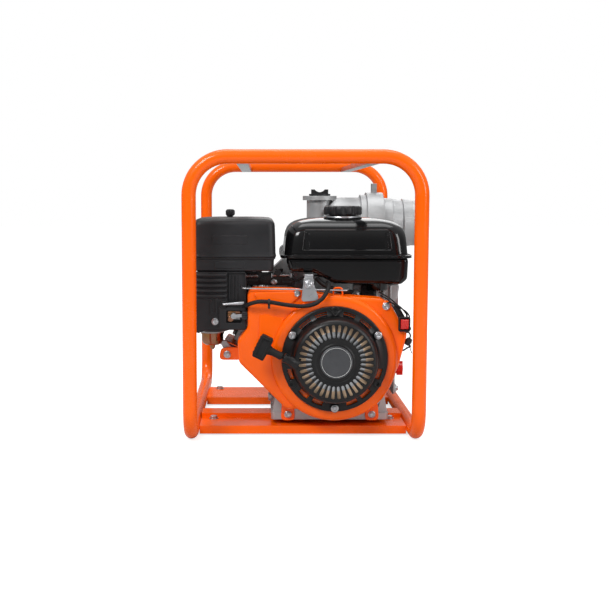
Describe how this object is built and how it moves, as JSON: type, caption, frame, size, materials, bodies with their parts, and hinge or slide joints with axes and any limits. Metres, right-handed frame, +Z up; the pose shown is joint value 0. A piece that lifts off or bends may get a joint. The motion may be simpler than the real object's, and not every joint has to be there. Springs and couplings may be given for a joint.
{
  "type": "portable fire pump",
  "caption": "Petrol engine-driven centrifugal water pump in an open tube frame, with hose tails for suction and discharge and a pull-cord starter.",
  "frame": {"origin": "bottom centre of the whole object's box, on the ground under the frame", "axes": "+X towards the discharge side (right, seen from the starter), +Y from the starter to the suction port, +Z up"},
  "size_m": [0.513, 0.7034, 0.554],
  "materials": {
    "frame_paint": "glossy orange powder coat",
    "zinc_steel": "bright zinc plate",
    "cast_aluminium": "sand cast, fine grain",
    "cast_iron": "as cast",
    "black_paint": "gloss black enamel",
    "black_steel": "satin black enamel",
    "black_plastic": "moulded, fine texture",
    "nylon": "natural nylon, moulded",
    "black_rubber": "matt",
    "badge_metal": "satin dark disc, blank",
    "red_plastic": "glossy",
    "yellow_zinc": "yellow passivated zinc",
    "rope": "braided nylon",
    "filter_paper": "pleated paper"
  },
  "bodies": {
    "frame": {"front_frame_hoop": "frame_paint", "rear_frame_hoop": "frame_paint", "top_cross_bars": "zinc_steel", "cross_rails": "frame_paint", "base_bolts": "zinc_steel", "crankcase": "cast_aluminium", "bearings_and_seal": "zinc_steel", "cylinder_barrel": "cast_aluminium", "piston": "cast_aluminium", "cylinder_head": "cast_aluminium", "rocker_cover": "black_steel", "cover_bolts": "zinc_steel", "spark_plug_boot": "black_rubber", "cylinder_lower_shroud": "frame_paint", "fan_cover": "frame_paint", "recoil_housing": "black_plastic", "recoil_badge": "badge_metal", "recoil_spring": "zinc_steel", "fuel_tank_upper": "black_paint", "fuel_tank_lower": "black_paint", "tank_brackets": "zinc_steel", "air_cleaner_lid": "black_plastic", "air_cleaner_tray": "black_plastic", "air_filter_element": "filter_paper", "intake_cover": "black_plastic", "carburettor": "cast_aluminium", "carburettor_bowl": "yellow_zinc", "control_plate": "black_steel", "governor_linkage": "zinc_steel", "fuel_hose": "black_rubber", "engine_switch_body": "black_plastic", "wire_harness": "black_rubber", "ignition_coil": "black_steel", "drain_plugs": "zinc_steel", "muffler": "black_steel", "muffler_guard": "zinc_steel", "pump_bracket": "cast_aluminium", "pump_casing": "cast_aluminium", "volute": "cast_iron", "casing_bolts": "zinc_steel", "suction_flange": "cast_aluminium", "hose_tails": "cast_aluminium", "discharge_elbow": "cast_aluminium"},
    "rotor": {"crankshaft": "zinc_steel", "flywheel_fan": "cast_aluminium", "impeller": "cast_iron"},
    "starter_reel": {"recoil_reel": "nylon"},
    "pull_handle": {"recoil_handle": "black_rubber", "starter_rope": "rope"},
    "throttle_lever": {"throttle_lever": "black_steel"},
    "choke_lever": {"choke_lever": "zinc_steel"},
    "fuel_cock_lever": {"fuel_cock_lever": "zinc_steel"},
    "switch_rocker": {"engine_switch_rocker": "red_plastic"},
    "fuel_cap": {"fuel_cap": "black_plastic"},
    "air_cleaner_knob": {"air_cleaner_knob": "black_plastic"},
    "oil_filler_cap": {"oil_filler_cap": "red_plastic"},
    "priming_plug": {"priming_plug": "black_plastic"},
    "suction_nut": {"suction_nut": "cast_aluminium"},
    "discharge_nut": {"discharge_nut": "cast_aluminium"},
    "check_valve_flap": {"check_valve_flap": "black_rubber"}
  },
  "joints": [
    {"name": "crank_spin", "type": "hinge", "parent": "frame", "child": "rotor", "pos_m": [0.0325, -0.15827, 0.157], "axis": [0, 1, 0], "continuous": true},
    {"name": "handle_pull", "type": "slide", "parent": "frame", "child": "pull_handle", "axis": [-0.4505, -0.8509, 0.2703], "range_m": [0, 0.8], "stiffness_N_per_m": 20, "springref_m": -0.5},
    {"name": "reel_turn", "type": "hinge", "parent": "frame", "child": "starter_reel", "pos_m": [0.0325, -0.32627, 0.157], "axis": [0, 1, 0], "range_deg": [0, 900]},
    {"name": "throttle_turn", "type": "hinge", "parent": "frame", "child": "throttle_lever", "pos_m": [-0.1025, -0.23328, 0.303], "axis": [0, 1, 0], "range_deg": [0, 40]},
    {"name": "choke_turn", "type": "hinge", "parent": "frame", "child": "choke_lever", "pos_m": [-0.1805, -0.28127, 0.26], "axis": [0, -1, 0], "range_deg": [0, 30]},
    {"name": "fuel_cock_turn", "type": "hinge", "parent": "frame", "child": "fuel_cock_lever", "pos_m": [-0.1615, -0.28027, 0.237], "axis": [0, 1, 0], "range_deg": [0, 40]},
    {"name": "switch_rock", "type": "hinge", "parent": "frame", "child": "switch_rocker", "pos_m": [0.1655, -0.30328, 0.224], "axis": [1, 0, 0], "range_deg": [0, 14]},
    {"name": "fuel_cap_turn", "type": "hinge", "parent": "frame", "child": "fuel_cap", "pos_m": [0.0575, -0.15327, 0.438], "axis": [0, 0, 1], "range_deg": [0, 90]},
    {"name": "air_cleaner_knob_turn", "type": "hinge", "parent": "frame", "child": "air_cleaner_knob", "pos_m": [-0.1705, -0.19828, 0.434], "axis": [0, 0, 1], "range_deg": [0, 1080]},
    {"name": "oil_filler_turn", "type": "hinge", "parent": "frame", "child": "oil_filler_cap", "pos_m": [0.1635, -0.18827, 0.121], "axis": [1, 0, 0], "range_deg": [0, 720]},
    {"name": "priming_plug_turn", "type": "hinge", "parent": "frame", "child": "priming_plug", "pos_m": [0.0235, 0.08173, 0.47], "axis": [0, 0, 1], "range_deg": [0, 720]},
    {"name": "suction_nut_turn", "type": "hinge", "parent": "frame", "child": "suction_nut", "pos_m": [0.0325, 0.23472, 0.245], "axis": [0, 1, 0], "range_deg": [0, 720]},
    {"name": "discharge_nut_turn", "type": "hinge", "parent": "frame", "child": "discharge_nut", "pos_m": [0.1435, 0.08173, 0.408], "axis": [1, 0, 0], "range_deg": [0, 720]},
    {"name": "check_valve_swing", "type": "hinge", "parent": "frame", "child": "check_valve_flap", "pos_m": [0.0325, 0.14972, 0.299], "axis": [-1, 0, 0], "range_deg": [0, 30]}
  ],
  "couplings": [
    {"joint": "reel_turn", "follows": "handle_pull", "rad_per_m": 19.2}
  ]
}
